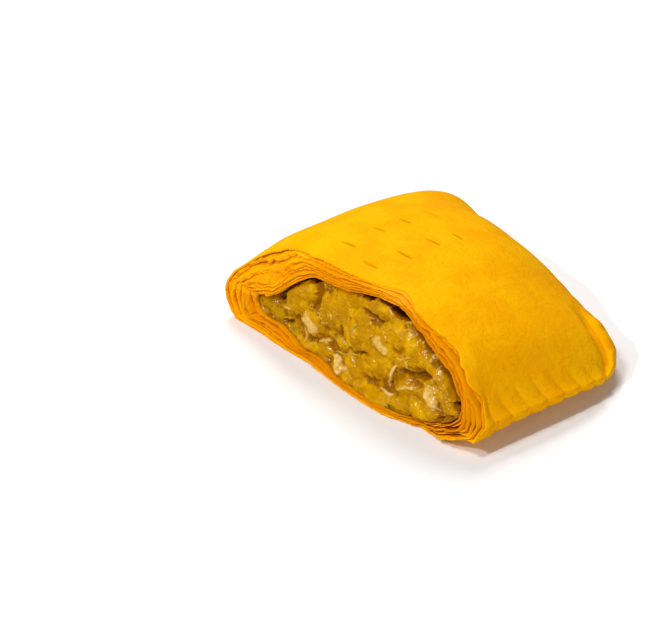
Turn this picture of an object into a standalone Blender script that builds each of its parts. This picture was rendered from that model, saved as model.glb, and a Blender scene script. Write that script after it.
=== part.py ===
# Half of a flaky half-moon turnover, cut across: a layered crust and the chicken filling in it.
# X runs from the fold to the crimp, Y from the cut to the far end, Z up. The part rests on z = 0.
# Lengths below are in millimetres and are scaled to metres once, in solid().

import math

import bmesh
import bpy
import numpy as np
from mathutils import Matrix, Vector

MM = 0.001

# Outline in plan
WIDTH = 82.0
FOLD_LENGTH = 63.1
CRIMP_LENGTH = 47.6
CUT_SKEW = -2.0
CRIMP_CORNER = (0.124, 6.7)
FOLD_CORNER = (0.05, 10.0)

# Heights of the outer skin
CROWN = 26.0
CROWN_AT = 0.55
FOLD_MID = 6.8
FOLD_ROUND = 0.075
CRIMP_TOP = 5.0
CRIMP_BOTTOM = 2.0
FAR_TOP = 3.5
FOLD_END_TOP = 7.3
CORNER_LIP = 0.6

# How late the crust falls towards the far end, by the share of the width
FALL_AT = (0.0, 0.08, 0.2, 0.33, 0.48, 0.6, 0.72, 1.0)
FALL_POWER = (5.3, 4.8, 3.0, 3.8, 3.75, 3.7, 2.1, 1.95)

# The side goes down from the crown by a shoulder, a steep part and a flat rim
SIDE_AT = (0.55, 0.63, 0.71, 0.76, 0.80, 0.85, 0.89, 0.93, 0.96, 0.985, 1.0)
SIDE_LIFT = (1.0, 0.99, 0.955, 0.912, 0.85, 0.757, 0.660, 0.485, 0.265, 0.095, 0.0)

# Crimp marks and pricked slits
GROOVE_PITCH = 4.8
GROOVE_DEPTH = 0.7
SLIT_LENGTH = 4.4
SLIT_WIDTH = 0.8
SLIT_DEPTH = 0.7
SLIT_ROWS = ((33.0, 28.4, 7.3, 34.1), (43.7, 39.0, 4.5, 31.9))
SLITS_IN_ROW = 4

# Hollow for the filling
POCKET_FOLD = 11.5
POCKET_CRIMP = 76.0
POCKET_TOP = 22.3
POCKET_BOTTOM = 2.2
POCKET_END = 0.82
POCKET_TIP = 8.4
POCKET_CRIMP_Z = 5.6
GAP = 0.35

# Mesh of the loft
AROUND = 36
ALONG = 34
LAYER_RINGS = 10
POCKET_ROWS = 8
FILLING_ROWS = 12

# Pieces of chicken at the cut face: start and end as (x, z), half width, how far they stand out
CHICKEN = {
    "chunkLeft": ((27.2, 11.2), (30.8, 6.6), 1.7, 1.2),
    "chunkLow": ((35.6, 7.0), (40.0, 4.6), 1.6, 1.1),
    "chunkHigh": ((51.3, 15.6), (54.8, 10.6), 1.8, 1.1),
    "chunkMid": ((57.2, 5.4), (62.4, 8.6), 1.2, 1.0),
    "chunkRight": ((64.6, 11.2), (68.2, 6.6), 1.9, 1.4),
    "strand": ((56.6, 11.6), (55.3, 5.2), 0.8, 1.5),
    "curl": ((56.8, 12.0), (61.6, 12.2), 0.9, 1.2),
    "bitLow": ((51.4, 4.8), (55.2, 4.4), 0.9, 0.9),
    "bitLeft": ((31.4, 7.6), (35.4, 8.6), 1.1, 0.8),
}

CRUST_COLOUR = (0.955, 0.475, 0.012)
FILLING_COLOUR = (0.50, 0.30, 0.02)


def smooth(a, b, x):
    t = np.clip((x - a) / (b - a), 0.0, 1.0)
    return t * t * (3.0 - 2.0 * t)


def ripple(x, y, seed):
    # Sum of five waves of falling size, between about -1 and 1
    total = np.zeros(np.broadcast(x, y).shape)
    for k in range(5):
        turn = seed * 1.7 + k * 2.4
        f = 1.0 + 0.83 * k
        total = total + np.sin(f * (x * math.cos(turn) + y * math.sin(turn)) + 3.1 * turn) / (1.0 + 0.7 * k)
    return total / 2.2


def plan(s, t):
    # s is -1 at the fold and 1 at the crimp, t is 0 at the cut and 1 at the far end
    side = smooth(-0.7, 0.7, s)
    k = FOLD_CORNER[0] + (CRIMP_CORNER[0] - FOLD_CORNER[0]) * side
    m = FOLD_CORNER[1] + (CRIMP_CORNER[1] - FOLD_CORNER[1]) * side
    xi = (s + 1.0) / 2.0
    x = WIDTH / 2.0 * (1.0 + s * (1.0 - k * t**m))
    length = FOLD_LENGTH + (CRIMP_LENGTH - FOLD_LENGTH) * xi
    y = length * t * (1.0 - k * np.abs(s) ** m) + CUT_SKEW * xi * (1.0 - t)
    return x, y


def rise(xi, peak, powerFold, rootFold, powerCrimp, rootCrimp):
    # Section across the turnover: 0 at both edges, 1 at the crown
    fold = np.clip(1.0 - np.clip(1.0 - xi / peak, 0.0, 1.0) ** powerFold, 0.0, 1.0) ** (1.0 / rootFold)
    crimp = np.clip(1.0 - np.clip((xi - peak) / (1.0 - peak), 0.0, 1.0) ** powerCrimp, 0.0, 1.0) ** (1.0 / rootCrimp)
    return np.where(xi < peak, fold, crimp)


def fall(xi, t):
    # How the crown falls off towards the far end, steeper near the fold
    across = np.clip(xi / 0.6, 0.0, 1.0)
    power = np.interp(xi, FALL_AT, FALL_POWER)
    root = 2.2 - 1.0 * across**0.8 + 0.2 * across**3
    return np.clip(1.0 - t**power, 0.0, 1.0) ** (1.0 / root)


def skinTop(s, t):
    xi = (s + 1.0) / 2.0
    lip = CORNER_LIP * smooth(0.5, 0.95, t) * smooth(0.3, 0.9, xi)
    far = FAR_TOP + (FOLD_END_TOP - FAR_TOP) * (1.0 - smooth(0.0, 0.3, xi))
    near = FOLD_MID * (1.0 - xi) + CRIMP_TOP * xi
    edge = near + (far - near) * smooth(0.5, 1.0, t) + lip
    cut = rise(xi, CROWN_AT, 2.75, 1.75, 2.6, 1.35)
    inland = np.where(xi > CROWN_AT, np.interp(xi, SIDE_AT, SIDE_LIFT), cut)
    return edge + (CROWN - edge) * (cut + (inland - cut) * smooth(0.0, 0.15, t)) * fall(xi, t)


def skinBottom(s, t):
    xi = (s + 1.0) / 2.0
    lip = CORNER_LIP * smooth(0.5, 0.95, t) * smooth(0.3, 0.9, xi)
    bend = np.clip(1.0 - xi / FOLD_ROUND, 0.0, 1.0)
    fold = FOLD_MID + (FOLD_END_TOP - FOLD_MID) * smooth(0.5, 1.0, t)
    round_ = fold * (1.0 - np.sqrt(np.clip(1.0 - bend**2, 0.0, 1.0)))
    lift = (CRIMP_BOTTOM + 0.7 * lip) * np.maximum(smooth(0.84, 1.0, xi), smooth(0.84, 1.0, t))
    return round_ + lift * (1.0 - bend)


def grooves(x, y, z, s, t):
    # Fork marks: shallow upright grooves pressed into the crimped rim
    along = y + 0.55 * (WIDTH - x)
    mark = np.abs(np.sin(math.pi * (along / GROOVE_PITCH + 0.1))) ** 0.7
    rim = smooth(0.80, 0.97, (s + 1.0) / 2.0) * smooth(0.0, 0.1, t)
    return GROOVE_DEPTH * (1.0 - mark) * rim


def outerPoint(s, t, top):
    x, y = plan(s, t)
    z = np.where(top, skinTop(s, t), skinBottom(s, t))
    inward = grooves(x, y, z, s, t)
    return np.stack([x - inward, y, z - 0.3 * inward * top], -1)


def pocketPoint(s, t, gap):
    # Upper and lower line of the hollow, on the plan of the skin but narrower and shorter
    xi = (s + 1.0) / 2.0
    left = POCKET_FOLD + 1.3 * gap
    right = POCKET_CRIMP - 1.3 * gap
    sIn = -1.0 + 2.0 * (left + (right - left) * xi) / WIDTH
    x, y = plan(sIn, t * POCKET_END)
    end = np.sqrt(np.clip(1.0 - t**3, 0.0, 1.0))
    middle = POCKET_TIP + (POCKET_CRIMP_Z - POCKET_TIP) * xi
    tall = fall(np.clip(xi, 0.0, 1.0), t * POCKET_END)
    upper = middle + (POCKET_TOP * tall - middle * 0.3 * (1.0 - tall) - middle) * rise(xi, 0.6, 2.0, 1.4, 2.6, 1.5) * end
    lower = middle - (middle - POCKET_BOTTOM) * rise(xi, 0.45, 2.6, 1.9, 2.4, 1.6) * end
    blunt = 0.9 * smooth(0.85, 1.0, xi) + 0.7 * (1.0 - smooth(0.0, 0.1, xi))
    return x, y, np.maximum(upper, middle) + blunt - gap, lower - blunt + gap


def loopParameter():
    # Round the section: over the top from fold to crimp, then back along the bottom
    angle = np.linspace(0.0, math.pi, AROUND + 1)
    s = -np.cos(angle)
    return np.concatenate([s, s[::-1][:-1]]), np.arange(2 * AROUND + 1) <= AROUND


def cutLine(x, z):
    # The cut isn't flat: it bows forward low down and leans back over the crimped side
    bow = -1.5 * np.sin(math.pi * np.clip(x / WIDTH, 0.0, 1.0)) * (1.0 - smooth(4.0, 16.0, z))
    lean = 4.2 * smooth(46.0, 78.0, x) * smooth(3.0, 14.0, z) + 1.2 * smooth(14.0, 24.0, z)
    return bow + lean


def outerRow(t):
    s, top = loopParameter()
    row = outerPoint(s, np.full(s.shape, t), top)
    near = 1.0 - smooth(0.0, 0.16, t)
    row[:, 1] += near * (cutLine(row[:, 0], row[:, 2]) + 0.35 * ripple(row[:, 0] * 0.9, row[:, 2] * 0.7, 3.0))
    torn = smooth(3.5, 6.0, row[:, 0]) * (1.0 - smooth(15.0, 18.0, row[:, 0])) * top * (1.0 - smooth(0.03, 0.10, t))
    row[:, 2] -= 0.9 * torn
    return row


def pocketRow(t, gap):
    angle = np.linspace(0.0, math.pi, AROUND + 1)
    s = -np.cos(angle)
    x, y, upper, lower = pocketPoint(s, np.full(s.shape, t), gap)
    over = np.stack([x, y, upper], -1)
    under = np.stack([x, y, lower], -1)[::-1]
    row = np.concatenate([over, under[:-1]])
    row[0, 2] = (upper[0] + lower[0]) / 2.0
    row[:, 1] += (1.0 - smooth(0.0, 0.16, t)) * cutLine(row[:, 0], row[:, 2])
    return row


def bridge(faces, first, second, count):
    for i in range(count):
        j = (i + 1) % count
        faces.append((first + i, first + j, second + j, second + i))


def closeEnd(faces, first):
    # Joins the upper half of a loop to the lower half, which runs the other way
    faces.append((first, first + 1, first + 2 * AROUND))
    for i in range(1, AROUND):
        low = first + 2 * AROUND + 1 - i
        faces.append((first + i, first + i + 1, low - 1, low))


def alongValues(count, end):
    u = np.linspace(0.0, 1.0, count + 1)
    return end * (0.5 * u + 0.5 * np.sin(math.pi * u / 2.0))


def solid(name, points, faces, collection):
    mesh = bpy.data.meshes.new(name)
    mesh.from_pydata((np.asarray(points) * MM).tolist(), [], faces)
    bm = bmesh.new()
    bm.from_mesh(mesh)
    bmesh.ops.remove_doubles(bm, verts=bm.verts, dist=0.00001)
    bmesh.ops.recalc_face_normals(bm, faces=bm.faces)
    bm.to_mesh(mesh)
    bm.free()
    obj = bpy.data.objects.new(name, mesh)
    collection.objects.link(obj)
    mesh.shade_smooth()
    mesh.set_sharp_from_angle(angle=math.radians(40.0))
    return obj


def layerRing(outer, inner, k):
    # One ring of the cut face: the sheets' edges stand proud and sink back in turn
    share = k / LAYER_RINGS
    ring = outer * (1.0 - share) + inner * share
    x, z = ring[:, 0], ring[:, 2]
    low = 1.0 - smooth(6.0, 11.0, z)
    open_ = smooth(58.0, 72.0, x) * low
    step = 0.45 if k % 2 else -0.35
    wave = 0.35 * ripple(x * 0.55, z * 0.55, 1.0 + k)
    ring[:, 1] += step + wave - 1.3 * open_ * share
    return ring


def makeCrust(collection):
    count = 2 * AROUND + 1
    points, faces, rows = [], [], []

    def addRow(row):
        first = sum(len(p) for p in points)
        points.append(row)
        if rows:
            bridge(faces, rows[-1], first, count)
        rows.append(first)

    pocket = [pocketRow(t, 0.0) for t in alongValues(POCKET_ROWS, 0.985)]
    outer = [outerRow(t) for t in alongValues(ALONG, 1.0)]
    for row in reversed(pocket):
        addRow(row)
    for k in range(LAYER_RINGS - 1, 0, -1):
        addRow(layerRing(outer[0], pocket[0], k))
    for row in outer:
        addRow(row)
    closeEnd(faces, rows[0])
    closeEnd(faces, rows[-1])
    return solid("crust", np.concatenate(points), faces, collection)


def frontY(x, z):
    # The filling's cut face: lumps, sunk beside the crust, proud low down
    lumps = 1.1 * ripple(x * 0.32, z * 0.36, 5.0) + 0.5 * ripple(x * 0.8, z * 0.9, 8.0)
    return cutLine(x, z) + 0.2 - lumps


def addFront(points, faces, first):
    # Strips from the upper half of the rim down to the lower half, as a lumpy height field in Y
    rim = points[-1]
    upper = np.arange(1, AROUND)
    lower = 2 * AROUND + 1 - upper
    columns = [first + upper]
    base = sum(len(p) for p in points)
    for k in range(1, FILLING_ROWS):
        share = k / FILLING_ROWS
        row = rim[upper] * (1.0 - share) + rim[lower] * share
        hold = smooth(0.0, 0.22, share) * smooth(0.0, 0.22, 1.0 - share)
        row[:, 1] = frontY(row[:, 0], row[:, 2]) * hold + (row[:, 1] + 1.2) * (1.0 - hold)
        points.append(row)
        columns.append(base + (k - 1) * len(upper) + np.arange(len(upper)))
    columns.append(first + lower)
    corner = first + AROUND
    for above, below in zip(columns[:-1], columns[1:]):
        faces.append((first, int(above[0]), int(below[0])))
        for i in range(len(upper) - 1):
            faces.append((int(above[i]), int(above[i + 1]), int(below[i + 1]), int(below[i])))
        faces.append((corner, int(below[-1]), int(above[-1])))
    faces.append((corner, corner + 1, int(columns[-1][-1])))


def makeFillingBody(collection):
    count = 2 * AROUND + 1
    points, faces, rows = [], [], []

    def addRow(row):
        first = sum(len(p) for p in points)
        points.append(row)
        if rows:
            bridge(faces, rows[-1], first, count)
        rows.append(first)

    for t in reversed(alongValues(POCKET_ROWS, 0.975)):
        row = pocketRow(t, GAP)
        row[:, 1] -= GAP * smooth(0.8, 1.0, t)
        addRow(row)
    addFront(points, faces, rows[-1])
    closeEnd(faces, rows[0])
    return solid("filling", np.concatenate(points), faces, collection)


def makeChicken(name, piece, collection):
    # One piece: a stretched ball lying in the cut face, along its own direction
    start, end, half, proud = piece
    a = Vector((start[0], 0.0, start[1]))
    b = Vector((end[0], 0.0, end[1]))
    middle = (a + b) / 2.0
    along = b - a
    mesh = bpy.data.meshes.new(name)
    bm = bmesh.new()
    bmesh.ops.create_uvsphere(bm, u_segments=10, v_segments=7, radius=1.0)
    length = along.length / 2.0 + 0.4
    for v in bm.verts:
        v.co.z = math.copysign(abs(v.co.z) ** 0.8, v.co.z)
        bend = 0.25 * half * math.sin(2.5 * v.co.z + start[0])
        v.co = Vector((v.co.x * half + bend, v.co.y * (0.9 + proud), v.co.z * length)) * MM
    bm.to_mesh(mesh)
    bm.free()
    obj = bpy.data.objects.new(name, mesh)
    collection.objects.link(obj)
    y = float(frontY(np.array(middle.x), np.array(middle.z)))
    obj.location = Vector((middle.x, y + 0.5, middle.z)) * MM
    obj.rotation_mode = "QUATERNION"
    obj.rotation_quaternion = along.to_track_quat("Z", "Y")
    return obj


def topPoint(x, y):
    # The skin's point above (x, y), and the skin's normal there
    s, t = np.meshgrid(np.linspace(-0.9, 0.9, 181), np.linspace(0.0, 0.95, 191))
    px, py = plan(s, t)
    k = np.unravel_index(np.argmin(np.hypot(px - x, py - y)), px.shape)
    here = outerPoint(s[k], t[k], True)
    ds = outerPoint(s[k] + 0.02, t[k], True) - here
    dt = outerPoint(s[k], t[k] + 0.02, True) - here
    return Vector(here), Vector(np.cross(ds, dt)).normalized()


def makeSlit(name, x, y, collection):
    # A pricked slit: a thin pointed blade set across the skin
    point, normal = topPoint(x, y)
    mesh = bpy.data.meshes.new(name)
    bm = bmesh.new()
    bmesh.ops.create_cone(
        bm, cap_ends=True, segments=4, radius1=0.5 * SLIT_LENGTH, radius2=0.62 * SLIT_LENGTH, depth=2.0 * SLIT_DEPTH
    )
    for v in bm.verts:
        v.co = Vector((v.co.x, v.co.y * SLIT_WIDTH / SLIT_LENGTH, v.co.z)) * MM
    bm.to_mesh(mesh)
    bm.free()
    obj = bpy.data.objects.new(name, mesh)
    collection.objects.link(obj)
    side = (Vector((1.0, 0.1, 0.0)) - normal * normal.x).normalized()
    across = normal.cross(side).normalized()
    obj.rotation_mode = "QUATERNION"
    turn = Matrix([[side[i], across[i], normal[i]] for i in range(3)])
    obj.rotation_quaternion = turn.to_quaternion()
    obj.location = point * MM
    return obj


def join(target, others, operation):
    # One Boolean with a collection, applied, and the collection's objects taken away
    group = bpy.data.collections.new(target.name + "_" + operation.lower())
    bpy.context.scene.collection.children.link(group)
    for obj in others:
        for old in list(obj.users_collection):
            old.objects.unlink(obj)
        group.objects.link(obj)
        obj.hide_render = True
        obj.display_type = "WIRE"
    change = target.modifiers.new("join", "BOOLEAN")
    change.operation = operation
    change.operand_type = "COLLECTION"
    change.collection = group
    change.solver = "EXACT"
    bpy.context.view_layer.update()
    graph = bpy.context.evaluated_depsgraph_get()
    mesh = bpy.data.meshes.new_from_object(target.evaluated_get(graph))
    target.modifiers.remove(change)
    mesh.name = target.name
    target.data = mesh
    for obj in list(group.objects):
        bpy.data.objects.remove(obj, do_unlink=True)
    bpy.data.collections.remove(group)


def material(name, colour, roughness):
    mat = bpy.data.materials.new(name)
    mat.use_nodes = True
    shader = mat.node_tree.nodes["Principled BSDF"]
    shader.inputs["Base Color"].default_value = (*colour, 1.0)
    shader.inputs["Roughness"].default_value = roughness
    shader.inputs["Metallic"].default_value = 0.0
    mat.diffuse_color = (*colour, 1.0)
    return mat


def paint(obj, mat):
    obj.data.materials.clear()
    obj.data.materials.append(mat)


def centre(objects):
    # Puts the origin under the middle of the whole part's box
    spots = [obj.matrix_world @ v.co for obj in objects for v in obj.data.vertices]
    middle = Vector([(min(p[i] for p in spots) + max(p[i] for p in spots)) / 2.0 for i in range(2)] + [0.0])
    for obj in objects:
        obj.data.transform(Matrix.Translation(-middle))
    return middle


def main():
    for obj in list(bpy.data.objects):
        bpy.data.objects.remove(obj, do_unlink=True)
    parts = bpy.data.collections.new("half_turnover")
    bpy.context.scene.collection.children.link(parts)

    crust = makeCrust(parts)
    slits = []
    for row, (xNear, xFar, yNear, yFar) in enumerate(SLIT_ROWS):
        for k in range(SLITS_IN_ROW):
            share = k / (SLITS_IN_ROW - 1)
            x = xNear + (xFar - xNear) * share
            y = yNear + (yFar - yNear) * share
            slits.append(makeSlit("slit_%d_%d" % (row, k), x, y, parts))
    join(crust, slits, "DIFFERENCE")
    paint(crust, material("crust", CRUST_COLOUR, 0.45))

    filling = makeFillingBody(parts)
    pieces = [makeChicken(name, piece, parts) for name, piece in CHICKEN.items()]
    join(filling, pieces, "UNION")
    paint(filling, material("filling", FILLING_COLOUR, 0.35))
    centre([crust, filling])


main()
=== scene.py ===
# Looks for half a jamaican patty: a golden crust of thin torn sheets round curried chicken.
# Shapes are worked out in millimetres, x from the fold, y from the cut, z up, then moved to the frame.
# s runs from -1 at the fold to 1 at the crimp and xi from 0 to 1 over the same width, t from 0 at the cut
# to 1 at the far end; top is 1 on the upper side of the crust and 0 on the lower one.

import math

import bpy
import numpy as np
from mathutils import Matrix, Vector


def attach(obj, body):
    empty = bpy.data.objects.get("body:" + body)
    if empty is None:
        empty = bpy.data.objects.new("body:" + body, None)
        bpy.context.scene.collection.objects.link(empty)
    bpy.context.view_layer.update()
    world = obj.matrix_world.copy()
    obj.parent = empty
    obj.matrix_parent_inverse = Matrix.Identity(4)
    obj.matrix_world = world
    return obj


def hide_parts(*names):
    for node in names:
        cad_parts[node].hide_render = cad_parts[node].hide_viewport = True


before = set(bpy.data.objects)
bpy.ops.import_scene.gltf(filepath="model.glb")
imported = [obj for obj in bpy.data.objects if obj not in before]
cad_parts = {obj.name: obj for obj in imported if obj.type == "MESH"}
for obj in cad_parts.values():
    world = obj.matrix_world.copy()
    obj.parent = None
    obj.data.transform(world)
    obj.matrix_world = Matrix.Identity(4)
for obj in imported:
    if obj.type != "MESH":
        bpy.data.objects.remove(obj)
scene = bpy.context.scene
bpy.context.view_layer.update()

patty = {
    "width": 82,
    "foldLength": 62.9,
    "crimpLength": 47.6,
    "cutSkew": -2,
    # how far the far corners are pulled in, and how late
    "crimpCorner": (0.124, 6.7),
    "foldCorner": (0.05, 10),
    "crown": 26,
    "crownAt": 0.55,
    "foldMid": 6.8,
    "foldSink": 0.8,
    # power and root of the rise to the crown
    "foldRise": (2.75, 1.75),
    "crimpRise": (2.6, 1.35),
    "foldRound": 0.06,
    "crimpTop": 5.6,
    "crimpBottom": 4.6,
    # how much lower the rim's underside lies at the far end, and at the cut
    "farDrop": 2,
    "cutDrop": 0.8,
    "farTop": 3.5,
    "foldEndTop": 7.3,
    "cornerLip": 0.6,
    "centre": (41, 28.729),
    "front": -3.8,
    # the cut's curve is felt this far behind it
    "cutReach": 10,
}

pocket = {
    "fold": 11.5,
    "crimp": 76,
    "top": 22.3,
    "bottom": 2.2,
    "end": 0.82,
    "tip": 8.4,
    "crimpZ": 6.6,
    # peak, powers and roots of the rise to its upper wall and the sink to its lower one
    "rise": (0.6, 2, 1.4, 2.6, 1.5),
    "sink": (0.45, 2.6, 1.9, 2.4, 1.6),
    # height of the filling's upper and lower lines at the cut, by x
    "highX": [11.5, 14.5, 19, 22.5, 26, 29, 31.5, 36, 42, 46, 51, 57, 60, 63, 66, 69, 71.5, 73.5, 75, 76],
    "high": [
        8.2, 9.3, 11.8, 14.8, 17.4, 19.2, 20.3, 20.6, 21.3, 22.6, 23.6, 23.8, 22.7, 20.7, 18.9, 16.9, 14.9,
        12.2, 9.6, 7.6,
    ],
    "lowX": [11.5, 13, 14.5, 17, 20, 22, 24, 26, 28, 30, 33, 36, 39, 50, 60, 65, 69, 72, 74.5, 76],
    "low": [8.2, 6.6, 5.5, 5, 4.9, 4.1, 3.4, 2.4, 2, 2.3, 2.4, 1.9, 1.1, 1, 1.2, 1.7, 3, 4.5, 6, 7.6],
}


def unit(x):
    return np.clip(x, 0, 1)


def smooth(a, b, x):
    # 3u^2 - 2u^3 for u running from a to b
    u = unit((x - a) / (b - a))
    return u * u * (3 - 2 * u)


def fade(a, b, x):
    return 1 - smooth(a, b, x)


def between(a, b, share):
    return a + (b - a) * share


def valueNoise(p, seed):
    # Hashed values at the eight corners of each point's unit cell, blended by 6u^5 - 15u^4 + 10u^3
    cell = np.floor(p).astype(np.int64)
    f = p - cell
    f = f * f * f * (f * (f * 6 - 15) + 10)
    total = np.zeros(p.shape[:-1])
    for corner in range(8):
        step = np.array([corner & 1, (corner >> 1) & 1, corner >> 2])
        c = cell + step
        h = c[..., 0] * 374761393 + c[..., 1] * 668265263 + c[..., 2] * 1440662683 + seed * 974711
        h = h & 0xFFFFFFFF
        h = ((h ^ (h >> 13)) * 1274126177) & 0xFFFFFFFF
        h = h ^ (h >> 16)
        total += np.prod(np.where(step == 1, f, 1 - f), -1) * ((h & 0xFFFF) / 32767.5 - 1)
    return total


def fbm(p, seed, octaves=4, gain=0.5):
    # Octaves of value noise, each twice as fine and gain times as strong
    total = np.zeros(p.shape[:-1])
    amount, norm = 1, 0
    for k in range(octaves):
        total += amount * valueNoise(p * 2.03**k, seed + 17 * k)
        norm += amount
        amount *= gain
    return total / norm


def triple(x, y, z):
    return np.stack(np.broadcast_arrays(np.asarray(x, float), np.asarray(y, float), np.asarray(z, float)), -1)


def cutNoise(x, z, scale, shift, seed, octaves):
    # Noise over the cut; shift picks another slice of the same pattern
    return fbm(triple(x * scale, z * scale, shift), seed, octaves)


def addObject(name, data):
    made = bpy.data.objects.new(name, data)
    scene.collection.objects.link(made)
    return made


def makeObject(name, points, quads, tris=None, layers=None):
    # Points in mm, faces as index arrays; turned to face outwards by the sign of the volume they close
    p = (np.asarray(points).reshape(-1, 3) - np.array([*patty["centre"], 0])) * 0.001
    quads = np.asarray(quads, dtype=np.int64).reshape(-1, 4)
    tris = np.zeros((0, 3), np.int64) if tris is None else np.asarray(tris, np.int64).reshape(-1, 3)
    flat = np.concatenate([quads[:, [0, 1, 2]], quads[:, [0, 2, 3]], tris])
    volume = np.einsum("ij,ij->i", p[flat[:, 0]], np.cross(p[flat[:, 1]], p[flat[:, 2]])).sum()
    if volume < 0:
        quads, tris = quads[:, ::-1], tris[:, ::-1]
    mesh = bpy.data.meshes.new(name)
    mesh.from_pydata(p, [], quads.tolist() + tris.tolist())
    mesh.validate()
    for layerName, values in (layers or {}).items():
        layer = mesh.attributes.new(layerName, "FLOAT", "POINT")
        layer.data.foreach_set("value", np.asarray(values, np.float32).ravel())
    mesh.shade_smooth()
    return addObject(name, mesh)


def gridQuads(rows, columns, closeRows=False, closeColumns=True):
    # Quads of a rows x columns grid of points numbered row by row
    i = np.arange(rows if closeRows else rows - 1)
    j = np.arange(columns if closeColumns else columns - 1)
    a, b = np.meshgrid(i, j, indexing="ij")
    a, a2, b2 = a * columns, (a + 1) % rows * columns, (b + 1) % columns
    return np.stack([a + b, a + b2, a2 + b2, a2 + b], -1).reshape(-1, 4)


def closedTube(rings, sides):
    # Faces of a tube of rings, its ends drawn together in the two points that follow the last ring
    j = np.arange(sides)
    after, last = (j + 1) % sides, (rings - 1) * sides
    pole = np.full(sides, rings * sides)
    tris = [np.stack([pole, after, j], -1), np.stack([pole + 1, last + j, last + after], -1)]
    return gridQuads(rings, sides), np.concatenate(tris)


def endStrip(half, first):
    # Joins the upper half of a loop of 2 * half + 1 points to its lower half, which runs back
    i = np.arange(1, half)
    low = 2 * half + 1 - i
    quads = first + np.stack([i, i + 1, low - 1, low], -1)
    return quads, first + np.array([[0, 1, 2 * half]])


def evenSpread(curve, count):
    # Values of the parameter 0..1 at equal steps of arc length of curve(u)
    u = np.linspace(0, 1, 4001)
    length = np.concatenate([[0], np.cumsum(np.linalg.norm(np.diff(curve(u), axis=0), axis=1))])
    return np.interp(np.linspace(0, length[-1], count), length, u)


def lengthAt(xi):
    # From the cut to the far end, straight from the fold's length to the crimp's
    return between(patty["foldLength"], patty["crimpLength"], xi)


def plan(s, t):
    # x runs as s (1 - k t^m), y as t (1 - k |s|^m) times the length there, which rounds the far corners
    toCrimp = smooth(-0.7, 0.7, s)
    k, m = (between(a, b, toCrimp) for a, b in zip(patty["foldCorner"], patty["crimpCorner"]))
    xi = (s + 1) / 2
    x = patty["width"] / 2 * (1 + s * (1 - k * np.maximum(t, 0) ** m))
    y = lengthAt(xi) * t * (1 - k * np.abs(s) ** m) + patty["cutSkew"] * xi * (1 - t)
    return x, y


def rise(xi, peak, powerFold, rootFold, powerCrimp, rootCrimp):
    # (1 - u^power)^(1/root) on each side of the peak, u from 0 at the peak to 1 at the edge
    fold = unit(1 - unit(1 - xi / peak) ** powerFold) ** (1 / rootFold)
    crimped = unit(1 - unit((xi - peak) / (1 - peak)) ** powerCrimp) ** (1 / rootCrimp)
    return np.where(xi < peak, fold, crimped)


farEnd = {
    # how late the crust falls towards the far end, by the share of the width
    "at": [0, 0.08, 0.2, 0.33, 0.48, 0.6, 0.72, 1],
    "power": [6, 5.7, 3, 3.8, 3.75, 3.6, 2.1, 1.95],
    "creaseAt": 0.84,
    "crease": 2.1,
    "ridge": 1,
}

side = {
    # how the top goes down from the crown to the sealed edge: a shoulder, a steep side, a flat rim
    "at": [0.55, 0.63, 0.71, 0.76, 0.8, 0.85, 0.89, 0.93, 0.96, 0.985, 1],
    "lift": [1, 0.99, 0.955, 0.912, 0.85, 0.757, 0.66, 0.485, 0.265, 0.095, 0],
}


def eased(at, values, x, spread=0.012):
    # The table's straight lines, averaged over a short stretch
    return sum(np.interp(x + k * spread, at, values) for k in (-2, -1, 0, 1, 2)) / 5


def fall(xi, t):
    # (1 - t^power)^(1/root), the power from the table, the root 2.2 at the fold and 1.4 from xi 0.6 on
    across = unit(xi / 0.6)
    power = eased(farEnd["at"], farEnd["power"], xi, 0.03)
    return unit(1 - unit(t) ** power) ** (1 / (2.2 - across**0.8 + 0.2 * across**3))


def farCrease(xi, t):
    # The sealed rim stands up behind a crease: ridge * exp(-(u / 0.04)^2) less crease * exp(-(u / 0.032)^2)
    at = farEnd["creaseAt"] + 0.045 * smooth(0.86, 1, xi)
    valley = farEnd["crease"] * np.exp(-(((t - at) / 0.032) ** 2))
    ridge = farEnd["ridge"] * np.exp(-(((t - at - 0.085) / 0.04) ** 2))
    return smooth(0.77, 0.87, xi) * (1 - 0.6 * smooth(0.96, 1, xi)) * (ridge - valley)


def cornerLip(xi, t):
    # The edge rises by a lip towards the far corner of the crimped side
    return patty["cornerLip"] * smooth(0.5, 0.95, t) * smooth(0.3, 0.9, xi)


def foldSink(t):
    # The fold's edge lies lower at the cut
    return patty["foldSink"] * fade(0.02, 0.25, t)


def skinTop(s, t):
    # edge + (crown - edge) * lift, with the far rim's crease and a dip exp(-u^2) beside the fold at the cut
    xi = (s + 1) / 2
    far = between(patty["farTop"], patty["foldEndTop"], fade(0, 0.3, xi))
    near = (patty["foldMid"] - foldSink(t)) * (1 - xi) + patty["crimpTop"] * xi
    edge = between(near, far, smooth(0.5, 1, t)) + cornerLip(xi, t)
    cut = rise(xi, patty["crownAt"], *patty["foldRise"], *patty["crimpRise"])
    inland = np.where(xi > patty["crownAt"], eased(side["at"], side["lift"], xi), cut)
    lift = between(cut, inland, smooth(0, 0.15, t)) * fall(xi, t)
    dip = np.exp(-(((xi - 0.075) / 0.065) ** 2)) * fade(0.15, 0.5, t)
    return between(edge, patty["crown"], lift) + farCrease(xi, t) - dip


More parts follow.
